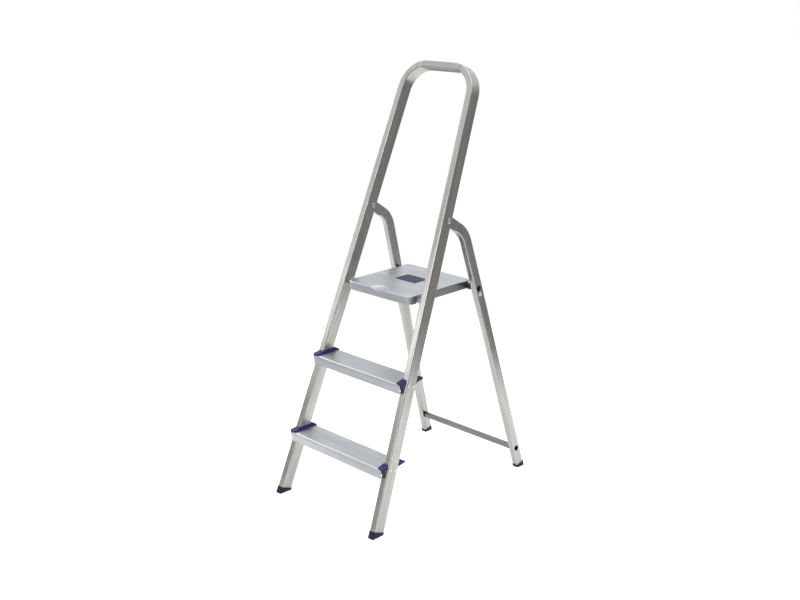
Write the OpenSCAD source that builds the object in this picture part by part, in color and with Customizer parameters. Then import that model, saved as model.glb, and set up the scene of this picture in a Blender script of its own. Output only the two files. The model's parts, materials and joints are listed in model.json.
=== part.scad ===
// Folding aluminium step stool with two treads, a platform and a handrail hoop.
// Origin: middle of the footprint on the floor. +Z up, the climbing side faces -Y.

/* [Overall] */
// Height of the platform above the floor
platform_z = 630; // [600:5:660]
// Lean of the front frame from vertical, in degrees
front_lean = 21.1; // [19:0.1:23]
// Lean of the rear legs from vertical, in degrees
rear_lean = 16.5; // [15:0.1:18]
// Floor distance from the front faces of the stiles to those of the rear legs
base_depth = 638; // [620:1:655]
// Outer half width of the front frame at the floor
front_half = 207; // [204:1:215]
// Outer half width of the rear frame at the floor
rear_half = 206.5; // [204:0.5:215]

/* [Front frame tube] */
// Width of the stile tube, seen from the front
stile_w = 20; // [20:0.5:22]
// Depth of the stile tube, front to back
stile_d = 40; // [38:1:42]
// Wall of the stile tube
stile_wall = 1.5; // [1.2:0.1:1.6]
// Inward taper of each stile, in degrees
stile_taper = 3; // [2.5:0.1:3.5]
// Length along the lean from the floor to the top of the handrail
hoop_top = 1340; // [1300:5:1380]
// Bend radius of the handrail corners at the tube's centreline
hoop_bend = 78; // [70:1:90]

/* [Rear legs] */
// Width of the leg tube, seen from behind
leg_w = 20; // [20:0.5:21]
// Depth of the leg tube
leg_d = 30; // [28:1:32]
// Wall of the leg tube
leg_wall = 1.5; // [1.2:0.1:1.6]
// Inward taper of each leg, in degrees
leg_taper = 3.1; // [2.8:0.1:3.4]
// Angle through which the top of each leg is bent forward
leg_bend_angle = 41; // [36:1:44]
// Bend radius of the leg at its centreline
leg_bend = 85; // [70:1:95]
// Width of the pressed tip that enters the stile
tip_w = 14.6; // [14:0.1:14.8]

/* [Fold joint] */
// Distance of the hinge pin from the floor, along the stile
hinge_s = 902; // [890:1:915]
// Distance of the hinge pin behind the stile's front face
hinge_d = 27; // [25:0.5:28]
// Diameter of the hinge pin
hinge_pin_d = 8; // [7:0.5:8]
// Diameter of the hinge pin's heads
hinge_head_d = 16; // [13:0.5:17]

/* [Treads] */
// Height of the lower tread
tread_low_z = 186; // [180:1:195]
// Height of the upper tread
tread_high_z = 408; // [400:1:415]
// Depth of a tread, front to back
tread_depth = 87; // [80:1:90]
// Height of a tread's front skirt
tread_skirt = 27; // [24:1:30]
// How far a tread's front edge stands before the stiles
tread_overhang = 21.4; // [18:0.2:24]
// Distance between grooves in the tread's top
groove_pitch = 4.6; // [4:0.1:6]

/* [Platform] */
// Half width of the platform tray
tray_half = 127; // [120:1:128]
// Depth of the platform tray, front to back
tray_depth = 262; // [255:1:266]
// Height of the tray's flange
tray_flange = 24; // [22:1:26]
// Corner radius at the front of the tray, in plan
tray_corner = 24; // [16:1:30]
// Corner radius at the rear of the tray, in plan
tray_rear_corner = 16; // [14:1:17]
// Sheet thickness of the tray
tray_sheet = 2; // [1.5:0.1:2.5]
// How far the tray's front edge stands before the stiles
tray_overhang = 18; // [15:1:22]
// Depth of the pivot and of the pegs below the platform's top
pivot_drop = 16; // [14:0.5:17]
// Distance of the pivot behind the rear leg's front face
pivot_e = 13; // [12:0.5:15]
// Diameter of the pivot bolt
pivot_d = 8; // [6:0.5:8]

/* [Brace] */
// Side of the square brace tube
brace_side = 15; // [12:0.5:15]
// Distance of the brace from the floor, along the leg
brace_t = 66; // [60:1:80]
// Distance of the brace's centre behind the leg's front face
brace_e = 13; // [12:0.5:15]

/* [Hidden] */

$fn = 48;
gap = 0.3;          // air between two bodies
seat_gap = 0.1;     // air between two fixed pieces
run_gap = 0.05;     // radial clearance of a pin that turns
front_y = -base_depth / 2 - leg_d / cos(rear_lean) / 2;
rear_y = front_y + base_depth;
sin_f = sin(front_lean);
cos_f = cos(front_lean);
sin_r = sin(rear_lean);
cos_r = cos(rear_lean);

// ---- Front frame: a point s along the lean and d behind the front face, as [y, z]
function front_at(s, d) = [front_y + s * sin_f + d * cos_f, s * cos_f - d * sin_f];
// Distance along the lean of a point at height z and depth d
function front_s(z, d) = (z + d * sin_f) / cos_f;
// Front face of the stiles at height z
function stile_front_y(z) = front_y + z * tan(front_lean);
// Outer and inner faces of the right stile at distance s
function stile_outer(s) = front_half - s * tan(stile_taper);
function stile_inner(s) = stile_outer(s) - stile_w / cos(stile_taper);

// ---- Rear frame: a point t along the lean and e behind the front face, as [y, z]
function rear_at(t, e) = [rear_y - t * sin_r + e * cos_r, t * cos_r + e * sin_r];
function rear_t(z, e) = (z - e * sin_r) / cos_r;
function leg_outer(t) = rear_half - t * tan(leg_taper);
function leg_inner(t) = leg_outer(t) - leg_w / cos(leg_taper);

hinge = front_at(hinge_s, hinge_d);
hinge_t = -(hinge[0] - rear_y) * sin_r + hinge[1] * cos_r;
hinge_e = (hinge[0] - rear_y) * cos_r + hinge[1] * sin_r;
hinge_x = (stile_outer(hinge_s) + stile_inner(hinge_s)) / 2;
fold_angle = front_lean + rear_lean;

// Leg centreline: straight, a bend forward, then a straight tip through the hinge
tip_len = (leg_d / 2 - hinge_e - leg_bend * (1 - cos(leg_bend_angle))) / sin(leg_bend_angle);
leg_straight = hinge_t / cos(leg_taper) - leg_bend * sin(leg_bend_angle)
    - tip_len * cos(leg_bend_angle);
leg_x0 = rear_half - leg_w / 2 / cos(leg_taper);
leg_foot = 3;            // the tube starts this far up inside its foot
leg_cap_top = 8;         // top of the foot, along the leg
tip_shoulder = 50;       // full width ends this far from the hinge pin
tip_ramp = 15;
tip_shift = hinge_x - leg_x0 + hinge_t * tan(leg_taper);   // centres the tip in the stile
slot_low = 39;           // slot in the stile's rear wall, below and above the pin
slot_high = 14;

stile_x0 = front_half - stile_w / 2 / cos(stile_taper);
stile_foot = 19;
stile_cap_top = 21;
rail_s = hoop_top - stile_w / 2;
bend_s = rail_s - hoop_bend;
bend_x = round(100 * (stile_x0 - (hoop_bend + bend_s * sin(stile_taper)) / cos(stile_taper))) / 100;
stile_len = round(100 * (bend_s + hoop_bend * sin(stile_taper)) / cos(stile_taper)) / 100;
lap = 0.005;             // joined lengths of one tube run this far into each other
corner_r = 4;            // corner radius of both tubes
cap_skin = 1.3;          // plastic round the outside of a tube at the feet

pivot_z = platform_z - pivot_drop;
pivot_t = rear_t(pivot_z, pivot_e);
pivot = rear_at(pivot_t, pivot_e);
peg_d = stile_d / 2;
peg_s = front_s(pivot_z, peg_d);
peg = front_at(peg_s, peg_d);
tray_front = stile_front_y(platform_z) - tray_overhang;
brace_at = rear_at(brace_t, brace_e);

// Tread fasteners: two per end, square across the stile
rivet_d = 4.8;
rivet_head_d = 9;
rivet_front = 10;
rivet_rear = 28;
rivet_drop = 6.5;        // the front fastener lies this far below the tread's top
collar_rise = 9.5;       // how far a tread cap's collar climbs the stile at the front
collar_rear = 12;        // and at the rear
lobe_air = 1.6;          // air between a tread's front lobe and the stile's face

function tread_rear_s(z) = z * cos_f + (stile_front_y(z) - tread_overhang + tread_depth - front_y) * sin_f;
function tread_half(z) = stile_inner(tread_rear_s(z)) - 3.4;
function lobe_end(z) = stile_inner(z / cos_f) + 12;
function rivet_s(z) = front_s(z - rivet_drop, rivet_front);
// Depth at which a front lobe ends, at height dz from the tread's top
function lobe_y(dz) = tread_overhang + dz * tan(front_lean) - lobe_air;

// ---- Frames
module front_plane() {
    translate([0, front_y, 0])
        rotate([-front_lean, 0, 0])
            children();
}

// Right stile: x across, y depth from the front face, z along the tube
module stile_frame() {
    front_plane()
        translate([stile_x0, 0, 0])
            rotate([0, -stile_taper, 0])
                children();
}

module rear_plane() {
    translate([0, rear_y, 0])
        rotate([rear_lean, 0, 0])
            children();
}

module leg_frame() {
    rear_plane()
        translate([leg_x0, 0, 0])
            rotate([0, -leg_taper, 0])
                children();
}

// The pressed tip: z runs from the end of the bend to the hinge pin at tip_len
module tip_frame() {
    leg_frame()
        translate([0, leg_d / 2 - leg_bend * (1 - cos(leg_bend_angle)),
                leg_straight + leg_bend * sin(leg_bend_angle)])
            rotate([leg_bend_angle, 0, 0])
                children();
}

// A shape drawn for the right side, shown on the right (1) or the left (-1)
module on_side(side) {
    if (side > 0) {
        children();
    } else {
        mirror([1, 0, 0])
            children();
    }
}

// ---- Shared shapes
module round_rect(w, h, r) {
    union() {
        square([w - 2 * r, h], center = true);
        square([w, h - 2 * r], center = true);
        for (sx = [-1, 1], sy = [-1, 1])
            translate([sx * (w / 2 - r), sy * (h / 2 - r)])
                circle(r);
    }
}

// Cross-section of a rounded rectangular tube
module tube_section(w, d, wall) {
    difference() {
        round_rect(w, d, corner_r);
        round_rect(w - 2 * wall, d - 2 * wall, corner_r - wall);
    }
}

// Cylinder along X from x1 to x2 at [y, z]
module rod_x(at, x1, x2, d) {
    translate([x1, at[0], at[1]])
        rotate([0, 90, 0])
            cylinder(d = d, h = x2 - x1);
}

// Ring along X
module ring_x(at, x1, x2, d, bore) {
    difference() {
        rod_x(at, x1, x2, d);
        rod_x(at, x1 - 1, x2 + 1, bore);
    }
}

// Domed head standing on the face at x, pointing outward
module dome_x(at, x, d, h) {
    ball = (d * d / 4 + h * h) / (2 * h);
    translate([x, at[0], at[1]])
        rotate([0, 90, 0])
            intersection() {
                cylinder(d = d, h = h);
                translate([0, 0, h - ball])
                    sphere(ball);
            }
}

// Hexagonal prism along X
module hex_x(at, x1, x2, across) {
    translate([x1, at[0], at[1]])
        rotate([0, 90, 0])
            cylinder(d = across / cos(30), h = x2 - x1, $fn = 6);
}

// Outline in (y, z) drawn from x1 to x2
module along_x(x1, x2) {
    translate([x1, 0, 0])
        rotate([90, 0, 90])
            linear_extrude(x2 - x1)
                children();
}

// ---- Front frame tube
module stile_section() {
    tube_section(stile_w, stile_d, stile_wall);
}

// The right stile and the corner above it
module hoop_side() {
    translate([bend_x, 0, -hoop_bend])
        rotate([0, -stile_taper, 0]) {
            rotate([90, 0, 0])
                rotate_extrude(angle = 90 - stile_taper, $fn = 96)
                    translate([hoop_bend, 0])
                        stile_section();
            translate([hoop_bend, 0, stile_foot - stile_len])
                linear_extrude(stile_len - stile_foot + lap)
                    stile_section();
        }
}

module stile() {
    color("silver")
        difference() {
            front_plane()
                translate([0, stile_d / 2, rail_s])
                    hoop_side();
            stile_cuts();
        }
}

// Straight top of the hoop, between the two corners
module handrail() {
    color("silver")
        front_plane()
            translate([-bend_x, stile_d / 2, rail_s])
                rotate([0, 90, 0])
                    linear_extrude(2 * bend_x)
                        stile_section();
}

// Slot, pin holes and fastener holes of the right stile
module stile_cuts() {
    slot_w = stile_w - 2 * stile_wall;
    stile_frame()
        translate([-slot_w / 2, stile_d - 2 * stile_wall, hinge_s / cos(stile_taper) - slot_low])
            cube([slot_w, 3 * stile_wall, slot_low + slot_high]);
    rod_x(hinge, hinge_x - stile_w, hinge_x + stile_w, hinge_pin_d + 2 * seat_gap);
    rod_x(peg, stile_inner(peg_s) - 2, stile_inner(peg_s) + stile_w / 2, 6 + 2 * seat_gap);
    for (z = [tread_low_z, tread_high_z], d = [rivet_front, rivet_rear])
        rod_x(front_at(rivet_s(z), d), stile_inner(rivet_s(z)) - 3, stile_outer(rivet_s(z)) + 3,
            rivet_d + 2 * seat_gap);
}

// ---- Treads
// Ports that take the tread's fasteners, relative to its top front corner
function port(d) = front_at(rivet_s(0), d) - [stile_front_y(0) - tread_overhang, 0];

module tread_section() {
    nose = 6;
    skin = 2.2;
    plate = 3;
    groove_w = 1.6;
    groove_deep = 0.8;
    rear_skirt = tread_skirt - 3;
    lip = 9;
    difference() {
        union() {
            // top plate with rounded front and rear edges
            translate([nose, -plate])
                square([tread_depth - 2 * nose, plate]);
            intersection() {
                translate([nose, -nose])
                    difference() {
                        circle(nose);
                        circle(nose - skin);
                    }
                translate([0, -nose])
                    square(nose);
            }
            intersection() {
                translate([tread_depth - nose, -nose])
                    difference() {
                        circle(nose);
                        circle(nose - skin);
                    }
                translate([tread_depth - nose, -nose])
                    square(nose);
            }
            // skirts and their turned-in lips
            translate([0, -tread_skirt])
                square([skin, tread_skirt - nose]);
            translate([tread_depth - skin, -rear_skirt])
                square([skin, rear_skirt - nose]);
            translate([0, -tread_skirt])
                square([lip, skin]);
            translate([tread_depth - lip, -rear_skirt])
                square([lip, skin]);
            // a bead along the middle of the front skirt
            translate([-0.6, -tread_skirt / 2 - 1])
                square([1.2, 2]);
            // webs that carry the ports
            for (d = [rivet_front, rivet_rear])
                translate([port(d)[0] - 1, port(d)[1]])
                    square([2, -port(d)[1] - 1]);
            translate([tread_depth - 22, -rear_skirt / 2])
                square([2, rear_skirt / 2 - 1]);
            for (d = [rivet_front, rivet_rear])
                translate(port(d))
                    circle(d = rivet_d + 4.4);
        }
        for (y = [nose + 2 : groove_pitch : tread_depth - nose - 2])
            translate([y, -groove_deep])
                square([groove_w, 1]);
        for (d = [rivet_front, rivet_rear])
            translate(port(d))
                circle(d = rivet_d + 2 * seat_gap);
    }
}

// The front edge runs on in a lobe before each stile
module tread(z) {
    color("lightsteelblue")
        translate([0, stile_front_y(z) - tread_overhang, z])
            difference() {
                along_x(-lobe_end(z), lobe_end(z))
                    tread_section();
                for (side = [-1, 1])
                    on_side(side)
                        along_x(tread_half(z), lobe_end(z) + 2)
                            polygon([[lobe_y(2), 2], [tread_depth + 2, 2],
                                [tread_depth + 2, -30], [lobe_y(-30), -30]]);
            }
}

// Right-hand moulded cap: nose, collar and rear ear round the stile, and a plate on the tread's end
module tread_cap(z) {
    half = tread_half(z);
    plate_t = 3.2;
    color("midnightblue")
        difference() {
            union() {
                intersection() {
                    translate([0, stile_front_y(z) - tread_overhang, z])
                        along_x(half, half + 34)
                            cap_side_outline();
                    translate([0, stile_front_y(z) + tread_depth, z])
                        rotate([90, 0, 0])
                            linear_extrude(2 * tread_depth)
                                cap_front_outline(half);
                    translate([0, 0, z - tread_skirt])
                        linear_extrude(2 * tread_skirt)
                            cap_plan(z, half);
                }
                translate([0, stile_front_y(z) - tread_overhang, z])
                    along_x(half, half + plate_t)
                        cap_plate_outline();
            }
            stile_frame()
                translate([0, stile_d / 2, z / cos_f - 100])
                    linear_extrude(300)
                        round_rect(stile_w + 2 * seat_gap, stile_d + 2 * seat_gap, corner_r);
            for (d = [rivet_front, rivet_rear])
                rod_x(front_at(rivet_s(z), d), half - 1, half + 10, rivet_d + 2 * seat_gap);
            cap_nose_cut(z, half);
            // room for the tread's front lobe
            translate([0, stile_front_y(z) - tread_overhang, z])
                along_x(half - 1, lobe_end(z) + seat_gap)
                    polygon([[-3, seat_gap], [lobe_y(0) + 0.4, seat_gap],
                        [lobe_y(-30) + 0.4, -30], [-3, -30]]);
        }
}

// Side view: [y, z] from the tread's top front corner
module cap_side_outline() {
    stile_rear = tread_overhang + stile_d / cos_f;
    polygon([[1.2, -7], [0, -5], [0, 2.2], [1.4, 3.7], [11, 4.2],
        [tread_overhang + collar_rise * tan(front_lean) - 1, collar_rise],
        [stile_rear + collar_rear * tan(front_lean) - 1, collar_rear],
        [tread_depth + 3, 1], [tread_depth + 4, -1], [tread_depth + 2, -2.5],
        [stile_rear - 1, -6]]);
}

// Front view: [x, z]
module cap_front_outline(half) {
    polygon([[half, -8], [half + 34, -8],
        [half + 34, 3], [half + 25, 3.6], [half + 17, collar_rear], [half + 4.2, collar_rear],
        [half, 0.8]]);
}

// Plan: a rounded nose before the stile, a slim strip inside it, an ear behind it
module cap_plan(z, half) {
    translate([half, stile_front_y(z) - tread_overhang])
        polygon(concat([[0, 9.5], [2.5, 5]],
            arc(8.2, 8.2, 8.2, 225, 270, 4), arc(16.8, 8, 8, 270, 385, 10),
            [[18, 24], [18, 62]],
            arc(22, 66.5, 2, 270, 360, 4), arc(20.5, tread_depth + 0.5, 3.5, 0, 80, 5),
            [[14, tread_depth + 2], [8, tread_depth], [0, tread_depth]]));
}

// Points on an arc about [x, y], from angle a to angle b
function arc(x, y, r, a, b, n) =
    [for (i = [0:n]) [x + r * cos(a + (b - a) * i / n), y + r * sin(a + (b - a) * i / n)]];

// Cut that thins the nose towards its outer corner
module cap_nose_cut(z, half) {
    lobe = lobe_end(z);
    translate([0, stile_front_y(z), z])
        rotate([90, 0, 0])
            linear_extrude(tread_overhang + 5)
                polygon([[lobe, -7.01], [half + 41, 1.9], [half + 41, -9], [lobe, -9]]);
}

module cap_plate_outline() {
    polygon([[lobe_y(-1) + 0.5, -1], [tread_depth - 2, -1], [tread_depth - 2, 4 - tread_skirt + 4],
        [tread_depth - 6, 4 - tread_skirt], [lobe_y(4 - tread_skirt) + 0.5, 4 - tread_skirt]]);
}

module tread_rivets(z) {
    color("gainsboro")
        for (side = [-1, 1], d = [rivet_front, rivet_rear])
            on_side(side)
                tread_rivet(front_at(rivet_s(z), d), stile_outer(rivet_s(z)), tread_half(z));
}

module tread_rivet(at, face, half) {
    tilt = rivet_head_d / 2 * tan(stile_taper);
    rod_x(at, half - 12, face + tilt + 0.6, rivet_d);
    rod_x(at, face + tilt, face + tilt + 0.7, rivet_head_d);
    dome_x(at, face + tilt + 0.7, rivet_head_d, 1.3);
}

// ---- Feet
module foot_grooves(y_mid, span) {
    for (i = [-1 : 1])
        translate([-300, y_mid + i * span / 4 - 1, -1])
            cube([600, 2, 2.2]);
}

// Everything below the floor
module below_floor() {
    translate([-400, -600, -200])
        cube([800, 1200, 200]);
}

module front_foot() {
    color("midnightblue")
        difference() {
            stile_frame()
                translate([0, stile_d / 2, 0])
                    union() {
                        translate([0, 0, -12])
                            linear_extrude(stile_cap_top + 12)
                                round_rect(stile_w + 2 * cap_skin, stile_d + 2 * cap_skin,
                                    corner_r + cap_skin);
                    }
            stile_frame()
                translate([0, stile_d / 2, stile_foot - seat_gap])
                    linear_extrude(20)
                        round_rect(stile_w + 2 * seat_gap, stile_d + 2 * seat_gap, corner_r);
            below_floor();
            foot_grooves(front_y + stile_d / 2, stile_d);
        }
    color("midnightblue")
        stile_frame()
            translate([0, stile_d / 2, stile_foot - 2])
                linear_extrude(26)
                    round_rect(stile_w - 2 * stile_wall - 2 * seat_gap,
                        stile_d - 2 * stile_wall - 2 * seat_gap, corner_r - stile_wall);
}

module rear_foot() {
    color("midnightblue")
        difference() {
            leg_frame()
                translate([0, leg_d / 2, -14])
                    linear_extrude(leg_cap_top + 14)
                        round_rect(leg_w + 2 * cap_skin, leg_d + 2 * cap_skin, corner_r + cap_skin);
            leg_frame()
                translate([0, leg_d / 2, leg_foot - seat_gap])
                    linear_extrude(20)
                        round_rect(leg_w + 2 * seat_gap, leg_d + 2 * seat_gap, corner_r);
            below_floor();
            foot_grooves(rear_y + leg_d / 2, leg_d);
        }
    color("midnightblue")
        leg_frame()
            translate([0, leg_d / 2, leg_foot - 1])
                linear_extrude(24)
                    round_rect(leg_w - 2 * leg_wall - 2 * seat_gap,
                        leg_d - 2 * leg_wall - 2 * seat_gap, corner_r - leg_wall);
}

// ---- Hinge
module hinge_pin() {
    tilt = hinge_head_d / 2 * tan(stile_taper);
    out = stile_outer(hinge_s) + tilt;
    in = stile_inner(hinge_s) - tilt;
    color("gainsboro") {
        rod_x(hinge, in, out, hinge_pin_d);
        rod_x(hinge, out, out + 1, hinge_head_d);
        dome_x(hinge, out + 1, hinge_head_d, 2);
        rod_x(hinge, in - 1, in, hinge_head_d);
        translate([2 * in - 1, 0, 0])
            mirror([1, 0, 0])
                dome_x(hinge, in, hinge_head_d, 2);
    }
}

// Sleeve between the side walls of the leg's tip
module hinge_bush() {
    half = tip_w / 2 - leg_wall - 1;
    color("dimgray")
        ring_x(hinge, hinge_x - half, hinge_x + half, 15, hinge_pin_d + 2 * run_gap);
}

// Peg on which the platform's flange rests
module platform_peg() {
    face = stile_inner(peg_s + 6) - seat_gap;
    neck = 8;
    shoulder_x = tray_half + 1.2;
    head_x = tray_half - tray_sheet - 1;
    color("gainsboro") {
        rod_x(peg, shoulder_x, face, 12);
        rod_x(peg, head_x - 2, shoulder_x, neck);
        rod_x(peg, head_x - 2.5, head_x, 12);
        rod_x(peg, face, stile_inner(peg_s) + stile_wall + 3, 6);
        rod_x(peg, stile_inner(peg_s) + stile_wall + 0.7, stile_inner(peg_s) + stile_wall + 3, 10);
    }
}

// ---- Rear legs
module leg_section() {
    tube_section(leg_w, leg_d, leg_wall);
}

// Straight length and the bend above it
module leg_tube() {
    leg_frame()
        translate([0, leg_d / 2 - leg_bend, leg_straight]) {
            rotate([90, 0, 90])
                rotate_extrude(angle = leg_bend_angle, $fn = 96)
                    translate([leg_bend, 0])
                        tube_section(leg_d, leg_w, leg_wall);
            translate([0, leg_bend, leg_foot - leg_straight])
                linear_extrude(leg_straight - leg_foot + lap)
                    leg_section();
        }
}

module rear_leg() {
    color("silver")
        difference() {
            leg_tube();
            leg_cuts();
        }
}

// The pressed tip: starts at the end of the bend, narrows at the shoulder, rounds about the pin
module leg_tip() {
    deep = leg_d - 2 * leg_wall;
    color("silver")
        difference() {
            tip_frame()
                translate([0, 0, tip_len])
                    tip_shell(deep);
            rod_x(hinge, hinge_x - leg_w, hinge_x + leg_w, hinge_pin_d + 2 * run_gap);
        }
}

module tip_shell(deep) {
    difference() {
        intersection() {
            translate([0, 0, -tip_len])
                linear_extrude(tip_len + leg_d / 2)
                    round_rect(leg_w, leg_d, corner_r);
            rotate([90, 0, 0])
                translate([0, 0, -leg_d])
                    linear_extrude(2 * leg_d)
                        tip_plan(leg_w + 2, tip_w, leg_d, 1);
            tip_profile(leg_d / 2);
        }
        intersection() {
            translate([0, 0, -tip_len - 1])
                linear_extrude(tip_len + leg_d)
                    round_rect(leg_w - 2 * leg_wall, deep, corner_r - leg_wall);
            rotate([90, 0, 0])
                translate([0, 0, -leg_d])
                    linear_extrude(2 * leg_d)
                        tip_plan(leg_w - 2 * leg_wall + 2, tip_w - 2 * leg_wall, leg_d, 2);
        }
    }
}

// Plan of the tip: from before the bend's end to beyond the pin
module tip_plan(w, tip, end, over) {
    low = tip_shift - tip / 2;
    high = tip_shift + tip / 2;
    polygon([[-w / 2, -tip_len - over], [-w / 2, -tip_shoulder],
        [low, -tip_shoulder + tip_ramp], [low, end], [high, end],
        [high, -tip_shoulder + tip_ramp], [w / 2, -tip_shoulder], [w / 2, -tip_len - over]]);
}

// Side view of the tip: a bar with a round end about the hinge pin
module tip_profile(r) {
    translate([-leg_w, 0, 0])
        rotate([0, 90, 0])
            linear_extrude(2 * leg_w)
                union() {
                    circle(r);
                    translate([0, -r - 1])
                        square([tip_len + 2, 2 * r + 2]);
                }
}

// Pivot and brace holes with their access holes in the outer wall
module leg_cuts() {
    access_d = 17;
    rod_x(pivot, leg_inner(pivot_t) - 3, leg_inner(pivot_t) + leg_w / 2, pivot_d + 2 * seat_gap);
    rod_x(pivot, leg_outer(pivot_t) - 5, leg_outer(pivot_t) + 5, access_d);
    rod_x(brace_at, leg_inner(brace_t) - 3, leg_inner(brace_t) + leg_w / 2, 5 + 2 * seat_gap);
    rod_x(brace_at, leg_outer(brace_t) - 5, leg_outer(brace_t) + 5, access_d);
    rod_x(insert_rivet_at, leg_outer(insert_rivet_t) - 5, leg_outer(insert_rivet_t) + 5,
        rivet_d + 2 * seat_gap);
}

// Channel that stiffens the leg where the platform pivots, and its rivet
insert_len = 70;
insert_head_d = 12;
insert_rivet_t = pivot_t - 19;
insert_rivet_at = rear_at(insert_rivet_t, pivot_e);

module leg_insert() {
    w = leg_w - 2 * leg_wall - 2 * seat_gap;
    d = leg_d - 2 * leg_wall - 2 * seat_gap;
    plate = 2;
    color("darkgray")
        difference() {
            leg_frame()
                translate([0, leg_d / 2, pivot_t / cos(leg_taper) - insert_len / 2])
                    linear_extrude(insert_len)
                        difference() {
                            round_rect(w, d, corner_r - leg_wall);
                            translate([-w / 2 + plate, -d / 2 + plate])
                                square([w - 2 * plate, d]);
                        }
            rod_x(pivot, leg_inner(pivot_t), leg_inner(pivot_t) + leg_w / 2, pivot_d + 2 * seat_gap);
            rod_x(pivot, leg_inner(pivot_t) + leg_w / 2, leg_outer(pivot_t) + 5, 18);
            rod_x(insert_rivet_at, leg_outer(insert_rivet_t) - 8, leg_outer(insert_rivet_t) + 5,
                rivet_d + 2 * seat_gap);
        }
}

module leg_insert_rivets() {
    tilt = insert_head_d / 2 * tan(leg_taper);
    face = leg_outer(insert_rivet_t) + tilt;
    color("gainsboro")
        for (side = [-1, 1])
            on_side(side) {
                rod_x(insert_rivet_at, face - 8, face + 0.6, rivet_d);
                rod_x(insert_rivet_at, face, face + 0.7, insert_head_d);
                dome_x(insert_rivet_at, face + 0.7, insert_head_d, 1.4);
            }
}

// ---- Platform pivot
pivot_wall_x = leg_inner(pivot_t);
bush_flange = 1.5;
nut_len = 6.5;
washer = 1.2;

module pivot_bolt() {
    head = pivot_wall_x + leg_wall + 2.8;
    color("gainsboro") {
        rod_x(pivot, tray_half - tray_sheet - 1.5 - gap - washer - nut_len - 2, head, pivot_d);
        hex_x(pivot, head, head + 4.5, 11);
    }
}

module pivot_spacer() {
    color("black")
        ring_x(pivot, tray_half + bush_flange + gap, pivot_wall_x - 0.7, 18, pivot_d + 2 * seat_gap);
}

module pivot_nuts() {
    face = tray_half - tray_sheet - 1.5 - gap;
    color("gainsboro")
        for (side = [-1, 1])
            on_side(side) {
                ring_x(pivot, face - washer, face, 14, pivot_d + 2 * seat_gap);
                difference() {
                    hex_x(pivot, face - washer - nut_len, face - washer - seat_gap, 12);
                    rod_x(pivot, face - washer - nut_len - 1, face, pivot_d + 2 * seat_gap);
                }
            }
}

// Flanged bearing in the tray's side flange
module flange_bush() {
    color("dimgray")
        difference() {
            union() {
                rod_x(pivot, tray_half + seat_gap, tray_half + bush_flange, 15);
                rod_x(pivot, tray_half - tray_sheet - 1.5, tray_half + bush_flange, 12);
            }
            rod_x(pivot, tray_half - 20, tray_half + 20, pivot_d + 2 * run_gap);
        }
}

// ---- Brace
brace_end = leg_inner(brace_t + brace_side) - 0.4;
plug_flange = 4;
brace_corner = 3;

module rear_brace() {
    color("silver")
        rear_plane()
            translate([-brace_end + plug_flange, brace_e, brace_t])
                rotate([0, 90, 0])
                    linear_extrude(2 * (brace_end - plug_flange))
                        difference() {
                            round_rect(brace_side, brace_side, brace_corner);
                            round_rect(brace_side - 2.8, brace_side - 2.8, brace_corner - 1.4);
                        }
}

// Plug with a collar between the brace's end and the leg
module brace_plug() {
    color("black")
        difference() {
            rear_plane()
                translate([brace_end - plug_flange + seat_gap, brace_e, brace_t])
                    rotate([0, 90, 0])
                        union() {
                            linear_extrude(plug_flange - seat_gap)
                                round_rect(brace_side, brace_side, brace_corner);
                            translate([0, 0, -16])
                                linear_extrude(17)
                                    round_rect(brace_side - 3, brace_side - 3, brace_corner - 1.4);
                        }
            rod_x(brace_at, brace_end - 30, brace_end + 5, 5 + 2 * seat_gap);
        }
}

module brace_screws() {
    head = leg_inner(brace_t) + leg_wall + 0.5;
    color("gainsboro")
        for (side = [-1, 1])
            on_side(side) {
                rod_x(brace_at, brace_end - 18, head, 5);
                rod_x(brace_at, head, head + 2, 9.5);
                dome_x(brace_at, head + 2, 9.5, 1.5);
            }
}

// ---- Platform
// Section of the tray's rim: x outward from a corner's centre, y up from the top face
module rim_section(r) {
    top_r = 4;
    union() {
        translate([0, -tray_sheet])
            square([r - top_r, tray_sheet]);
        intersection() {
            translate([r - top_r, -top_r])
                difference() {
                    circle(top_r);
                    circle(top_r - tray_sheet);
                }
            translate([r - top_r, -top_r])
                square(top_r);
        }
        translate([r - tray_sheet, -tray_flange])
            square([tray_sheet, tray_flange - top_r]);
    }
}

module rim_corner(x, y, r, turn) {
    translate([x, y, 0])
        rotate([0, 0, turn])
            rotate_extrude(angle = 90)
                rim_section(r);
}

module rim_side(x, y, r, turn, len) {
    translate([x, y, 0])
        rotate([0, 0, turn])
            rotate([90, 0, 0])
                linear_extrude(len)
                    rim_section(r);
}

module tray_shell() {
    front_r = tray_corner;
    rear_r = tray_rear_corner;
    front_x = tray_half - front_r;
    rear_x = tray_half - rear_r;
    y1 = -tray_depth / 2 + front_r;
    y2 = tray_depth / 2 - rear_r;
    union() {
        rim_corner(front_x, y1, front_r, -90);
        rim_corner(rear_x, y2, rear_r, 0);
        rim_corner(-rear_x, y2, rear_r, 90);
        rim_corner(-front_x, y1, front_r, 180);
        rim_side(rear_x, y2, rear_r, 0, y2 - y1);
        rim_side(-rear_x, y1, rear_r, 180, y2 - y1);
        rim_side(-rear_x, y2, rear_r, 90, 2 * rear_x);
        rim_side(front_x, y1, front_r, -90, 2 * front_x);
        translate([-rear_x, y1, -tray_sheet])
            cube([2 * rear_x, y2 - y1, tray_sheet]);
    }
}

scoop_ball = 55;
scoop_lift = 46;         // height of the ball's centre above the platform
scoop_in = 8;            // the scoop's centre lies this far behind the front edge
label_w = 82;
label_d = 58;
label_y = 142;           // middle of the label, behind the front edge

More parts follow.
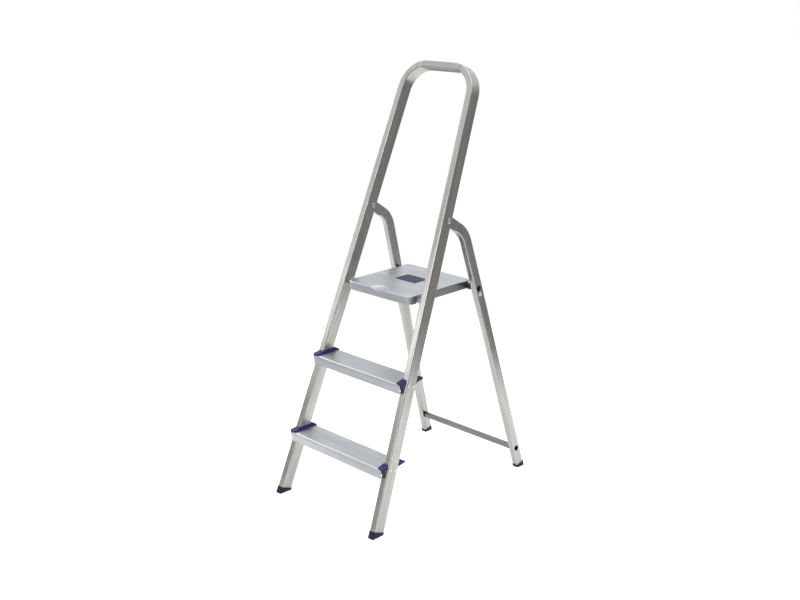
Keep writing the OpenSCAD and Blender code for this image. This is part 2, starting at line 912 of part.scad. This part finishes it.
module platform_tray() {
    groove = 9;
    color("lightsteelblue")
        difference() {
            union() {
                difference() {
                    translate([0, tray_front + tray_depth / 2, platform_z])
                        tray_shell();
                    scoop(scoop_ball);
                }
                intersection() {
                    difference() {
                        scoop(scoop_ball + tray_sheet);
                        scoop(scoop_ball);
                    }
                    translate([-60, tray_front, platform_z - tray_flange])
                        cube([120, 80, tray_flange]);
                }
            }
            // label pocket
            translate([-label_w / 2 - 0.5, tray_front + label_y - label_d / 2 - 0.5,
                    platform_z - 0.8])
                cube([label_w + 1, label_d + 1, 2]);
            // shallow grooves across the walking surface
            for (y = [44 : groove : tray_depth - 22])
                if (abs(y - label_y) > label_d / 2 + 4)
                    translate([-tray_half + 16, tray_front + y, platform_z - 0.5])
                        cube([2 * tray_half - 32, 1.6, 2]);
            for (side = [-1, 1])
                on_side(side)
                    tray_cuts();
        }
}

module scoop(r) {
    translate([0, tray_front + scoop_in, platform_z + scoop_lift])
        sphere(r, $fn = 96);
}

// Peg notch and pivot hole in the right flange
module tray_cuts() {
    slot = 4.35;
    rod_x(peg, tray_half - 10, tray_half + 5, 2 * slot);
    along_x(tray_half - 10, tray_half + 5)
        translate(peg)
            polygon([[-slot, 0], [slot, 0], [slot + 6.5, -tray_flange], [-slot, -tray_flange]]);
    rod_x(pivot, tray_half - 10, tray_half + 5, 12 + 2 * seat_gap);
}

// Two top-hat ribs under the tray
rib_h = 12;
rib_y = [88, 200];
rib_half = tray_half - tray_sheet - 3;

module platform_ribs() {
    color("silver")
        for (y = rib_y)
            translate([0, tray_front + y, platform_z - tray_sheet - seat_gap])
                along_x(-rib_half, rib_half)
                    rib_section();
}

// The rib's section: a channel, open side up, with a foot on each side
module rib_section() {
    web = 1.5;
    half = 9;
    foot = 17;
    union() {
        for (s = [-1, 1]) {
            translate([s * (half + foot) / 2 - (foot - half) / 2, -web])
                square([foot - half, web]);
            translate([s * (half - web / 2) - web / 2, -rib_h])
                square([web, rib_h]);
        }
        translate([-half, -rib_h])
            square([2 * half, web]);
    }
}

module platform_rib_rivets() {
    color("gainsboro")
        for (y = rib_y, s = [-1, 1], x = [-90, -30, 30, 90])
            translate([x, tray_front + y + s * 13, platform_z - tray_sheet - seat_gap - 1.5 - 1.4])
                cylinder(d = 6, h = 1.3);
}

module platform_label() {
    color("midnightblue")
        translate([-label_w / 2, tray_front + label_y - label_d / 2, platform_z - 0.7])
            cube([label_w, label_d, 0.6]);
}

on_side(-1) stile();  // stile_left
on_side(1) stile();  // stile_right
handrail();
tread(tread_low_z);  // tread_lower
tread(tread_high_z);  // tread_upper
on_side(-1) tread_cap(tread_low_z);  // tread_cap_lower_left
on_side(1) tread_cap(tread_low_z);  // tread_cap_lower_right
on_side(-1) tread_cap(tread_high_z);  // tread_cap_upper_left
on_side(1) tread_cap(tread_high_z);  // tread_cap_upper_right
tread_rivets(tread_low_z);  // tread_rivets_lower
tread_rivets(tread_high_z);  // tread_rivets_upper
on_side(-1) front_foot();  // front_foot_left
on_side(1) front_foot();  // front_foot_right
on_side(-1) hinge_pin();  // hinge_pin_left
on_side(1) hinge_pin();  // hinge_pin_right
on_side(-1) platform_peg();  // platform_peg_left
on_side(1) platform_peg();  // platform_peg_right
on_side(-1) rear_leg();  // rear_leg_left
on_side(1) rear_leg();  // rear_leg_right
on_side(-1) leg_tip();  // leg_tip_left
on_side(1) leg_tip();  // leg_tip_right
on_side(-1) hinge_bush();  // hinge_bush_left
on_side(1) hinge_bush();  // hinge_bush_right
on_side(-1) leg_insert();  // leg_insert_left
on_side(1) leg_insert();  // leg_insert_right
leg_insert_rivets();
rear_brace();
on_side(-1) brace_plug();  // brace_plug_left
on_side(1) brace_plug();  // brace_plug_right
brace_screws();
on_side(-1) rear_foot();  // rear_foot_left
on_side(1) rear_foot();  // rear_foot_right
on_side(-1) pivot_bolt();  // pivot_bolt_left
on_side(1) pivot_bolt();  // pivot_bolt_right
on_side(-1) pivot_spacer();  // pivot_spacer_left
on_side(1) pivot_spacer();  // pivot_spacer_right
pivot_nuts();
platform_tray();
platform_ribs();
platform_rib_rivets();
platform_label();
on_side(-1) flange_bush();  // flange_bush_left
on_side(1) flange_bush();  // flange_bush_right
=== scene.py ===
"""Looks of a folding aluminium step stool: camera, light, floor, materials and fine details."""

import json
import math

import bmesh
import bpy
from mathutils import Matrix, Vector


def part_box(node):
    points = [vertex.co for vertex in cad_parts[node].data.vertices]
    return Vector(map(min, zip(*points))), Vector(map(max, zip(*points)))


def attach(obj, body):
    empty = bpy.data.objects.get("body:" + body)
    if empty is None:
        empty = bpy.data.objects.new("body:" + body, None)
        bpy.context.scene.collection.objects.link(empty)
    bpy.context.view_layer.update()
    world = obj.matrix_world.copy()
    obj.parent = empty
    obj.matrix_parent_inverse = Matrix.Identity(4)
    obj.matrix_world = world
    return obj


# The object's own sizes, in metres and degrees, as in the CAD part
FRONT_LEAN = math.radians(21.1)
REAR_LEAN = math.radians(16.5)

# Camera
TARGET = Vector((0.0, -0.0346, 0.600))
CAMERA_AZIMUTH = math.radians(44.39)
CAMERA_ELEVATION = math.radians(16.65)
CAMERA_DISTANCE = 3.1812
CAMERA_LENS_MM = 49.36
CAMERA_SHIFT = (0.0057, -0.0085)

# Edge radius of the moulded pieces, by material slot, and the least angle of a rounded edge
MOULDED = {"cap_plastic": 0.0009, "foot_plastic": 0.0010, "black_plastic": 0.0005}
MOULDED_ANGLE = math.radians(28)

# Tone and roughness of the drawn tube, and how deep its streaks and smudges go
TUBE = (0.405, 0.395, 0.38)
TUBE_ROUGHNESS = 0.24
TUBE_STREAKS = {"dark": 0.76, "mark": 0.66}

# How far the fine die lines of metal move its roughness up and down
STREAK = 0.05

# Nodes that hold blind rivets, and the body each rides on
BLIND_RIVETS = {
    "tread_rivets_lower": "front_frame",
    "tread_rivets_upper": "front_frame",
    "leg_insert_rivets": "rear_frame",
}
# (height over the rivet's dome, radius) of the pin end and its ring, in millimetres
MANDREL_PROFILE = (
    (0.02, 0.0), (0.06, 0.6), (-0.06, 0.95), (-0.08, 1.15), (0.16, 1.35),
    (0.15, 1.65), (-0.15, 2.05), (-0.6, 2.2), (-0.7, 0.0),
)

# Lit panels: (name, place, point aimed at, size, watts)
LIGHTS = (
    ("left_panel", (-2.7, -0.1, 1.2), (0, 0, 0.7), (1.7, 2.4), 30),
    ("front_panel", (0.9, -3.2, 1.5), (0, 0, 0.7), (0.9, 1.6), 9),
    ("low_panel", (-1.9, -2.1, 1.15), (0, 0, 0.6), (0.9, 0.6), 3.2),
    ("camera_panel", (3.0, -2.5, 1.65), (0, 0, 0.65), (1.4, 1.4), 22),
    ("top", (0.3, 0.4, 3.4), (0, 0, 0), (3.4, 3.4), 26),
)
# (sine of the elevation, grey) of the room round the object, as reflections see it
ROOM = (
    (-1.0, 0.44), (-0.06, 0.42), (0.03, 0.42), (0.12, 0.66), (0.26, 1.12), (0.45, 1.40), (1.0, 1.38),
)
# The floor is solid to one radius and fades out at the other; its glow keeps it white
FLOOR_COLOR = (0.93, 0.93, 0.93, 1.0)
FLOOR_RADIUS = 1.75
FLOOR_SOLID = 1.25
FLOOR_GLOW = 0.26


# ---- Nodes
def node(tree, kind, inputs=None, **settings):
    """Adds a shader node; inputs maps socket names to values or to other nodes' sockets."""
    made = tree.nodes.new(kind)
    for name, value in settings.items():
        setattr(made, name, value)
    for name, value in (inputs or {}).items():
        if isinstance(value, bpy.types.NodeSocket):
            tree.links.new(value, made.inputs[name])
        else:
            made.inputs[name].default_value = value
    return made


def material(name):
    """A new material with only a Principled shader; returns (material, tree, shader)."""
    made = bpy.data.materials.new(name)
    made.use_nodes = True
    tree = made.node_tree
    shader = next(n for n in tree.nodes if n.type == "BSDF_PRINCIPLED")
    return made, tree, shader


def ramp(tree, factor, low, high, start=0.0, end=1.0):
    """Maps a socket's span from start to end onto low to high."""
    return node(
        tree,
        "ShaderNodeMapRange",
        {"Value": factor, "From Min": start, "From Max": end, "To Min": low, "To Max": high},
    ).outputs["Result"]


def noise(tree, vector, scale, detail=3.0, roughness=0.55):
    return node(
        tree,
        "ShaderNodeTexNoise",
        {"Vector": vector, "Scale": scale, "Detail": detail, "Roughness": roughness},
    ).outputs["Fac"]


def stretched(tree, vector, lean, along, stretch):
    """Coordinates squeezed along one axis, so noise drawn in them runs in streaks along it."""
    turned = node(
        tree,
        "ShaderNodeVectorRotate",
        {"Vector": vector, "Angle": lean},
        rotation_type="X_AXIS",
    ).outputs["Vector"]
    scale = [1.0, 1.0, 1.0]
    scale["XYZ".index(along)] = 1.0 / stretch
    return node(
        tree,
        "ShaderNodeVectorMath",
        {0: turned, 1: scale},
        operation="MULTIPLY",
    ).outputs["Vector"]


def mix_color(tree, factor, a, b, blend="MIX"):
    made = node(tree, "ShaderNodeMix", data_type="RGBA", blend_type=blend)
    for socket, value in (("Factor_Float", factor), ("A_Color", a), ("B_Color", b)):
        target = next(s for s in made.inputs if s.identifier == socket)
        if isinstance(value, bpy.types.NodeSocket):
            tree.links.new(value, target)
        else:
            target.default_value = value
    return next(s for s in made.outputs if s.identifier == "Result_Color")


def edge_mask(tree, radius):
    """1 at sharp outer and inner edges, 0 on flats."""
    rounded = node(tree, "ShaderNodeBevel", {"Radius": radius}, samples=6).outputs["Normal"]
    true = node(tree, "ShaderNodeNewGeometry").outputs["Normal"]
    dot = node(
        tree, "ShaderNodeVectorMath", {0: rounded, 1: true}, operation="DOT_PRODUCT"
    ).outputs["Value"]
    return ramp(tree, dot, 1.0, 0.0, 0.75, 0.995)


def metal(
    name, color, roughness, lean=0.0, along="Z", edge=0.0, dark=0.86, mark=0.78, front=1.0, side=1.0
):
    """Drawn or rolled metal: streaks along the tube, soft smudges, fine die lines, a painted highlight
    along the edges.

    lean and along: which way the streaks run.
    edge: radius over which edges are rounded in the shading and given a painted highlight, or 0 for
    none.
    dark and mark: how deep the streaks and the smudges go.
    front and side: painted shade, the share of the tone left on faces that look forward (-Y) or
    sideways (+X), darkening them whatever the light.
    """
    made, tree, shader = material(name)
    place = node(tree, "ShaderNodeTexCoord").outputs["Object"]
    lines = stretched(tree, place, lean, along, 60.0)
    bands = stretched(tree, place, lean, along, 7.0)
    broad = noise(tree, lines, 55.0, 4.0)
    fine = noise(tree, lines, 900.0, 2.0)
    cloud = noise(tree, bands, 34.0, 4.0, 0.6)
    smudge = noise(tree, place, 9.0, 5.0, 0.6)
    pits = noise(tree, place, 420.0, 3.0, 0.6)
    specks = noise(tree, place, 260.0, 2.0, 0.5)

    pale = (*color, 1.0)
    deep = (*(c * dark for c in color), 1.0)
    look = mix_color(tree, ramp(tree, broad, 0.0, 1.0, 0.32, 0.68), deep, pale)
    look = mix_color(
        tree, ramp(tree, cloud, 0.0, 0.5, 0.42, 0.72), look, (*(c * mark for c in color), 1.0)
    )
    look = mix_color(
        tree, ramp(tree, smudge, 0.0, 0.35, 0.5, 0.75), look, (*(c * 0.86 for c in color), 1.0)
    )
    look = mix_color(
        tree, ramp(tree, specks, 0.0, 0.45, 0.70, 0.78), look, (*(c * 0.55 for c in color), 1.0)
    )
    # Painted highlight: the base colour is made paler along the edges found by the bevel mask.
    if edge:
        look = mix_color(
            tree, ramp(tree, edge_mask(tree, edge), 0.0, 0.5), look,
            (*(min(1.0, c * 1.15) for c in color), 1.0),
        )
    normal = node(tree, "ShaderNodeTexCoord").outputs["Normal"]
    facing = node(tree, "ShaderNodeSeparateXYZ", {"Vector": normal}).outputs
    # Painted shade: faces looking forward (-Y) or sideways (+X) have their tone multiplied down,
    # whatever the light.
    for axis, painted_shade_tone, start, end in (("Y", front, -0.9, -0.5), ("X", side, 0.9, 0.5)):
        if painted_shade_tone < 1.0:
            look = mix_color(
                tree, ramp(tree, facing[axis], 1.0, 0.0, start, end), look,
                (painted_shade_tone, painted_shade_tone, painted_shade_tone, 1.0), "MULTIPLY",
            )
    tree.links.new(look, shader.inputs["Base Color"])
    shader.inputs["Metallic"].default_value = 1.0

    drift = node(
        tree,
        "ShaderNodeMath",
        {0: ramp(tree, cloud, -0.05, 0.08, 0.35, 0.7), 1: ramp(tree, smudge, -0.03, 0.09, 0.3, 0.75)},
        operation="ADD",
    ).outputs["Value"]
    rough = node(
        tree,
        "ShaderNodeMath",
        {0: ramp(tree, fine, roughness - STREAK, roughness + STREAK, 0.3, 0.7), 1: drift},
        operation="ADD",
    ).outputs["Value"]
    tree.links.new(rough, shader.inputs["Roughness"])

    height = node(
        tree, "ShaderNodeMath", {0: fine, 1: ramp(tree, pits, 0.0, 0.5)}, operation="ADD"
    ).outputs["Value"]
    bump = node(
        tree, "ShaderNodeBump", {"Strength": 0.3, "Distance": 0.00006, "Height": height}
    )
    if edge:
        rounded = node(tree, "ShaderNodeBevel", {"Radius": edge}, samples=6).outputs["Normal"]
        tree.links.new(rounded, bump.inputs["Normal"])
    wave = node(
        tree,
        "ShaderNodeBump",
        {"Strength": 0.35, "Distance": 0.0005, "Height": cloud, "Normal": bump.outputs["Normal"]},
    )
    tree.links.new(wave.outputs["Normal"], shader.inputs["Normal"])
    return made


def plastic(name, color, roughness, grain=2200.0, edge=0.0006):
    """Moulded plastic: fine grain, slight colour drift, edges made paler as a painted highlight."""
    made, tree, shader = material(name)
    place = node(tree, "ShaderNodeTexCoord").outputs["Object"]
    pebbles = noise(tree, place, grain, 2.0, 0.5)
    flow = noise(tree, place, 30.0, 4.0, 0.6)
    dust = noise(tree, place, 140.0, 6.0, 0.7)
    base = mix_color(
        tree,
        ramp(tree, flow, 0.0, 1.0, 0.3, 0.7),
        (*(c * 0.86 for c in color), 1.0),
        (*(c * 1.12 for c in color), 1.0),
    )
    dusty = mix_color(
        tree, ramp(tree, dust, 0.0, 0.05, 0.55, 0.8), base, (0.35, 0.36, 0.40, 1.0)
    )
    # Painted highlight: edges found by the bevel mask get a paler colour.
    mask = edge_mask(tree, edge)
    painted_edge_highlight = mix_color(
        tree, ramp(tree, mask, 0.0, 0.6), dusty, (*(c * 1.3 + 0.012 for c in color), 1.0)
    )
    tree.links.new(painted_edge_highlight, shader.inputs["Base Color"])
    shader.inputs["Specular IOR Level"].default_value = 0.20
    tree.links.new(
        ramp(tree, dust, roughness - 0.06, roughness + 0.12, 0.3, 0.75), shader.inputs["Roughness"]
    )
    rounded = node(tree, "ShaderNodeBevel", {"Radius": edge}, samples=6).outputs["Normal"]
    bump = node(
        tree,
        "ShaderNodeBump",
        {"Strength": 0.35, "Distance": 0.00008, "Height": pebbles, "Normal": rounded},
    ).outputs["Normal"]
    tree.links.new(bump, shader.inputs["Normal"])
    return made


def label_film(name, color, border, low, high):
    """Blank printed film: a darker border round a plain field, satin, with slight scuffs."""
    made, tree, shader = material(name)
    place = node(tree, "ShaderNodeTexCoord").outputs["Object"]
    parts = node(tree, "ShaderNodeSeparateXYZ", {"Vector": place})
    middle = (low + high) / 2
    reach = (high - low) / 2
    inside = []
    for axis, index in (("X", 0), ("Y", 1)):
        off = node(
            tree, "ShaderNodeMath", {0: parts.outputs[axis], 1: middle[index]}, operation="SUBTRACT"
        ).outputs["Value"]
        far = node(tree, "ShaderNodeMath", {0: off}, operation="ABSOLUTE").outputs["Value"]
        edge = reach[index] - border
        inside.append(ramp(tree, far, 1.0, 0.0, edge - 0.0004, edge + 0.0004))
    field = node(
        tree, "ShaderNodeMath", {0: inside[0], 1: inside[1]}, operation="MULTIPLY"
    ).outputs["Value"]
    shader.inputs["Specular IOR Level"].default_value = 0.12
    scuff = noise(tree, place, 160.0, 6.0, 0.7)
    flat = mix_color(
        tree, field, (*(c * 0.45 for c in color), 1.0), (*color, 1.0)
    )
    rubbed = mix_color(tree, ramp(tree, scuff, 0.0, 0.25, 0.55, 0.75), flat, (0.32, 0.33, 0.42, 1.0))
    tree.links.new(rubbed, shader.inputs["Base Color"])
    tree.links.new(ramp(tree, scuff, 0.30, 0.55, 0.3, 0.7), shader.inputs["Roughness"])
    bump = node(
        tree, "ShaderNodeBump", {"Strength": 0.2, "Distance": 0.00005, "Height": scuff}
    ).outputs["Normal"]
    tree.links.new(bump, shader.inputs["Normal"])
    return made


# ---- Stage
def make_camera():
    """The camera fitted to the object, aimed at TARGET."""
    data = bpy.data.cameras.new("camera")
    data.lens = CAMERA_LENS_MM
    data.sensor_width = 36.0
    data.shift_x, data.shift_y = CAMERA_SHIFT
    camera = bpy.data.objects.new("camera", data)
    bpy.context.scene.collection.objects.link(camera)
    level = math.cos(CAMERA_ELEVATION)
    way = Vector(
        (
            math.sin(CAMERA_AZIMUTH) * level,
            -math.cos(CAMERA_AZIMUTH) * level,
            math.sin(CAMERA_ELEVATION),
        )
    )
    camera.location = TARGET + way * CAMERA_DISTANCE
    camera.rotation_euler = (-way).to_track_quat("-Z", "Y").to_euler()
    bpy.context.scene.camera = camera


def make_light(name, place, aim, size, power):
    """A white rectangular area light."""
    data = bpy.data.lights.new(name, "AREA")
    data.shape = "RECTANGLE"
    data.size, data.size_y = size
    data.energy = power
    light = bpy.data.objects.new(name, data)
    bpy.context.scene.collection.objects.link(light)
    light.location = place
    light.rotation_euler = (Vector(aim) - Vector(place)).to_track_quat("-Z", "Y").to_euler()


def make_world():
    """A studio room: bright above, dark round and below the floor; white to the camera."""
    world = bpy.data.worlds.new("studio")
    bpy.context.scene.world = world
    world.use_nodes = True
    tree = world.node_tree
    tree.nodes.clear()
    way = node(tree, "ShaderNodeTexCoord").outputs["Generated"]
    up = node(tree, "ShaderNodeSeparateXYZ", {"Vector": way}).outputs["Z"]
    room = node(tree, "ShaderNodeValToRGB", {"Fac": ramp(tree, up, 0.0, 1.0, -1.0, 1.0)})
    stops = room.color_ramp.elements
    stops[0].color = (*[ROOM[0][1]] * 3, 1.0)
    stops[1].color = (*[ROOM[-1][1]] * 3, 1.0)
    for sine, grey in ROOM[1:-1]:
        stops.new((sine + 1.0) / 2.0).color = (grey, grey, grey, 1.0)
    seen = node(tree, "ShaderNodeLightPath").outputs["Is Camera Ray"]
    shown = mix_color(tree, seen, room.outputs["Color"], (1.0, 1.0, 1.0, 1.0))
    sky = node(tree, "ShaderNodeBackground", {"Color": shown, "Strength": 1.0})
    out = node(tree, "ShaderNodeOutputWorld")
    tree.links.new(sky.outputs["Background"], out.inputs["Surface"])


def make_floor():
    """A round white floor that fades out at its rim."""
    shape = bmesh.new()
    bmesh.ops.create_circle(shape, cap_ends=True, segments=96, radius=FLOOR_RADIUS)
    mesh = bpy.data.meshes.new("floor")
    shape.to_mesh(mesh)
    shape.free()
    floor = bpy.data.objects.new("floor", mesh)
    bpy.context.scene.collection.objects.link(floor)
    made, tree, shader = material("floor_white")
    shader.inputs["Base Color"].default_value = FLOOR_COLOR
    shader.inputs["Roughness"].default_value = 0.9
    shader.inputs["Specular IOR Level"].default_value = 0.0
    shader.inputs["Emission Color"].default_value = (1.0, 1.0, 1.0, 1.0)
    shader.inputs["Emission Strength"].default_value = FLOOR_GLOW
    place = node(tree, "ShaderNodeTexCoord").outputs["Object"]
    far = node(tree, "ShaderNodeVectorMath", {0: place}, operation="LENGTH").outputs["Value"]
    tree.links.new(ramp(tree, far, 1.0, 0.0, FLOOR_SOLID, FLOOR_RADIUS), shader.inputs["Alpha"])
    mesh.materials.append(made)


# ---- Assembly
def dress(nodes, record):
    """Gives each CAD node the material of its slot."""
    low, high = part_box("platform_label")
    looks = {
        # Painted shade on the platform's side flanges: faces looking sideways (+X) keep 0.6 of their
        # tone.
        "deck_aluminium": metal(
            "deck_aluminium", (0.465, 0.485, 0.515), 0.38, along="X", edge=0.0007, side=0.6
        ),
        "inner_aluminium": metal("inner_aluminium", (0.62, 0.63, 0.65), 0.42, along="X"),
        "brace_steel": metal("brace_steel", (0.19, 0.19, 0.185), 0.42, along="X", edge=0.0006),
        "rivet_aluminium": metal("rivet_aluminium", (0.66, 0.66, 0.65), 0.46, along="X", edge=0.0005),
        "bright_steel": metal("bright_steel", (0.42, 0.42, 0.41), 0.42, along="X", edge=0.0005),
        "cap_plastic": plastic("cap_plastic", (0.012, 0.015, 0.085), 0.40),
        "foot_plastic": plastic("foot_plastic", (0.005, 0.005, 0.022), 0.44),
        "black_plastic": plastic("black_plastic", (0.016, 0.018, 0.018), 0.44),
        "bearing_plastic": plastic("bearing_plastic", (0.05, 0.05, 0.055), 0.40),
        "label": label_film("label_film", (0.018, 0.017, 0.060), 0.006, low, high),
    }
    tubes = {
        "front": metal("tube_aluminium_front", TUBE, TUBE_ROUGHNESS, FRONT_LEAN, **TUBE_STREAKS),
        "rear": metal("tube_aluminium_rear", TUBE, TUBE_ROUGHNESS, -REAR_LEAN, **TUBE_STREAKS),
        "cross": metal("tube_aluminium_cross", TUBE, TUBE_ROUGHNESS, along="X", **TUBE_STREAKS),
    }
    # Painted shade on the treads' skirts: faces looking forward keep 0.68 of their tone.
    tread = metal("deck_aluminium_tread", (0.55, 0.57, 0.60), 0.38, along="X", edge=0.0007, front=0.68)
    for part in record["subparts"]:
        name, slot = part["node"], part["material_slot"]
        if slot == "tube_aluminium":
            if name == "handrail":
                look = tubes["cross"]
            else:
                look = tubes["front" if name.startswith("stile") else "rear"]
        elif name.startswith("tread"):
            look = tread if slot == "deck_aluminium" else looks[slot]
        else:
            look = looks[slot]
        mesh = nodes[name].data
        mesh.materials.clear()
        mesh.materials.append(look)
        for face in mesh.polygons:
            face.material_index = 0
    return looks


def soften(nodes, record):
    """Rounds the hard edges of the moulded pieces."""
    for part in record["subparts"]:
        if part["material_slot"] in MOULDED:
            bevel = nodes[part["node"]].modifiers.new("rounded", "BEVEL")
            bevel.width = MOULDED[part["material_slot"]]
            bevel.segments = 3
            bevel.limit_method = "ANGLE"
            bevel.angle_limit = MOULDED_ANGLE
            bevel.use_clamp_overlap = True
            bevel.harden_normals = True


def lathe(name, profile, steps=28):
    """A mesh turned about X from (x, radius) pairs; both ends lie on the axis."""
    shape = bmesh.new()
    rings = []
    for x, radius in profile:
        if radius == 0.0:
            rings.append([shape.verts.new((x, 0.0, 0.0))])
        else:
            turn = [2.0 * math.pi * i / steps for i in range(steps)]
            rings.append(
                [shape.verts.new((x, radius * math.cos(t), radius * math.sin(t))) for t in turn]
            )
    for low, high in zip(rings, rings[1:]):
        for i in range(steps):
            j = (i + 1) % steps
            corners = [low[i % len(low)], low[j % len(low)], high[j % len(high)], high[i % len(high)]]
            shape.faces.new(list(dict.fromkeys(corners)))
    bmesh.ops.recalc_face_normals(shape, faces=shape.faces)
    for face in shape.faces:
        face.smooth = True
    mesh = bpy.data.meshes.new(name)
    shape.to_mesh(mesh)
    shape.free()
    piece = bpy.data.objects.new(name, mesh)
    bpy.context.scene.collection.objects.link(piece)
    return piece


def islands(mesh):
    """The vertex places of each separate solid in a mesh."""
    shape = bmesh.new()
    shape.from_mesh(mesh)
    bmesh.ops.remove_doubles(shape, verts=shape.verts, dist=1e-6)
    left = set(shape.verts)
    found = []
    while left:
        stack = [left.pop()]
        places = []
        while stack:
            vert = stack.pop()
            places.append(vert.co.copy())
            for edge in vert.link_edges:
                other = edge.other_vert(vert)
                if other in left:
                    left.remove(other)
                    stack.append(other)
        found.append(places)
    shape.free()
    return sorted(found, key=lambda places: tuple(round(v, 4) for v in sum(places, Vector())))


def mandrels(nodes, look):
    """The broken-off pin end in its raised ring, on the outer head of every blind rivet."""
    for node_name, body in BLIND_RIVETS.items():
        for count, places in enumerate(islands(nodes[node_name].data)):
            side = 1.0 if places[0].x > 0 else -1.0
            top = max(side * v.x for v in places)
            middle = [(min(v[k] for v in places) + max(v[k] for v in places)) / 2 for k in (1, 2)]
            profile = [(side * x / 1000, radius / 1000) for x, radius in MANDREL_PROFILE]
            piece = lathe(f"mandrel_{node_name}_{count}", profile)
            piece.location = (side * top, *middle)
            piece.data.materials.append(look)
            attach(piece, body)


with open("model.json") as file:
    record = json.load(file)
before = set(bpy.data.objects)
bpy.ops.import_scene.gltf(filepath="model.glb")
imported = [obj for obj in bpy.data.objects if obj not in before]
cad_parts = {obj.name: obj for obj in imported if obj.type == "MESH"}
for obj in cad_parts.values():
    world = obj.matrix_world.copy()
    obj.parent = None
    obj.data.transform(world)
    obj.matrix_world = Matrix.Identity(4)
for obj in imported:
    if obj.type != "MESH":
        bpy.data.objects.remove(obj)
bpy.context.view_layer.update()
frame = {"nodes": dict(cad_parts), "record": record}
bpy.context.scene.view_settings.view_transform = "Standard"

make_camera()
make_world()
make_floor()
for name, place, aim, size, power in LIGHTS:
    make_light(name, place, aim, size, power)
looks = dress(frame["nodes"], frame["record"])
mandrels(frame["nodes"], looks["rivet_aluminium"])
soften(frame["nodes"], frame["record"])
